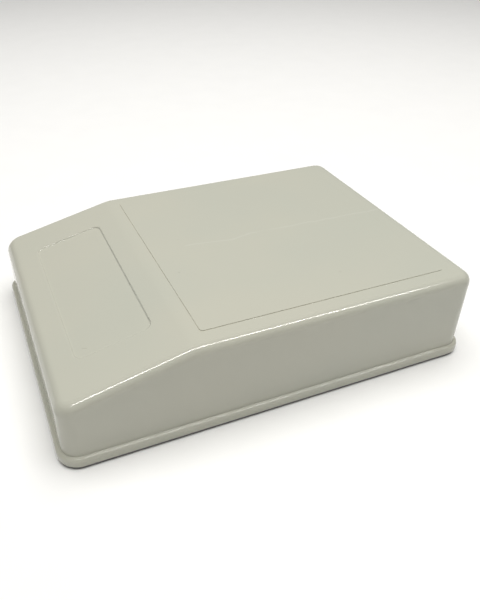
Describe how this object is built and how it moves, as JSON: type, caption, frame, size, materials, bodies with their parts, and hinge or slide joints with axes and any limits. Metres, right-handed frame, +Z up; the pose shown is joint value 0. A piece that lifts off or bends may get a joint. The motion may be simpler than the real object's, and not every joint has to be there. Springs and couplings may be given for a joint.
{
  "type": "enclosed yagi antenna",
  "caption": "Enclosed directional antenna: sloped moulded cover over a base plate that carries a boom, rod elements, feed box and rear coaxial jack",
  "frame": {"origin": "middle of the rim's footprint, on the underside that the base plate rests on", "axes": "+X the way the antenna points, towards the low sloped end; +Z up, from the base plate to the cover's flat top; +Y to the left, seen from behind"},
  "size_m": [0.2864, 0.2, 0.0606],
  "materials": {
    "cover_plastic": "glossy moulded, off-white",
    "base_plastic": "fine moulded grain, dark grey",
    "seal_rubber": "matt black rubber",
    "cable_jacket": "extruded black jacket",
    "screw_steel": "bright stainless",
    "element_aluminium": "drawn, unpolished",
    "support_nylon": "natural moulded nylon",
    "insert_brass": "turned",
    "jack_plating": "nickel-plated, satin",
    "insulator_white": "turned, waxy white",
    "board_laminate": "green solder mask"
  },
  "bodies": {
    "base": {"balun_board": "board_laminate", "base_plate": "base_plastic", "block_screw_1": "screw_steel", "block_screw_2": "screw_steel", "boom": "element_aluminium", "boom_cap_front": "base_plastic", "boom_cap_rear": "base_plastic", "boom_screw_front": "screw_steel", "boom_screw_rear": "screw_steel", "boom_support_front": "support_nylon", "boom_support_rear": "support_nylon", "bush_director_1_left": "support_nylon", "bush_director_1_right": "support_nylon", "bush_director_2_left": "support_nylon", "bush_director_2_right": "support_nylon", "bush_director_3_left": "support_nylon", "bush_director_3_right": "support_nylon", "bush_reflector_left": "support_nylon", "bush_reflector_right": "support_nylon", "coax_pigtail": "cable_jacket", "connector_block": "base_plastic", "cover_screw_front_left": "screw_steel", "cover_screw_front_right": "screw_steel", "cover_screw_middle_left": "screw_steel", "cover_screw_middle_right": "screw_steel", "cover_screw_rear_left": "screw_steel", "cover_screw_rear_right": "screw_steel", "director_1": "element_aluminium", "director_2": "element_aluminium", "director_3": "element_aluminium", "element_screw_director_1": "screw_steel", "element_screw_director_2": "screw_steel", "element_screw_director_3": "screw_steel", "element_screw_reflector": "screw_steel", "feed_box": "base_plastic", "feed_box_lid": "base_plastic", "feed_box_screw_front": "screw_steel", "feed_box_screw_rear": "screw_steel", "folded_dipole": "element_aluminium", "jack_body": "jack_plating", "jack_contact": "insert_brass", "jack_insulator": "insulator_white", "jack_nut": "jack_plating", "jack_o_ring": "seal_rubber", "jack_washer": "jack_plating", "mast_insert_1": "insert_brass", "mast_insert_2": "insert_brass", "mast_insert_3": "insert_brass", "mast_insert_4": "insert_brass", "reflector": "element_aluminium", "support_screw_front_1": "screw_steel", "support_screw_front_2": "screw_steel", "support_screw_rear_1": "screw_steel", "support_screw_rear_2": "screw_steel", "vent_plug": "seal_rubber"},
    "cover": {"radome_cover": "cover_plastic", "rim_gasket": "seal_rubber"}
  },
  "joints": [
    {"name": "cover_lift", "type": "slide", "parent": "base", "child": "cover", "axis": [0, 0, 1], "range_m": [0, 0.1]}
  ]
}
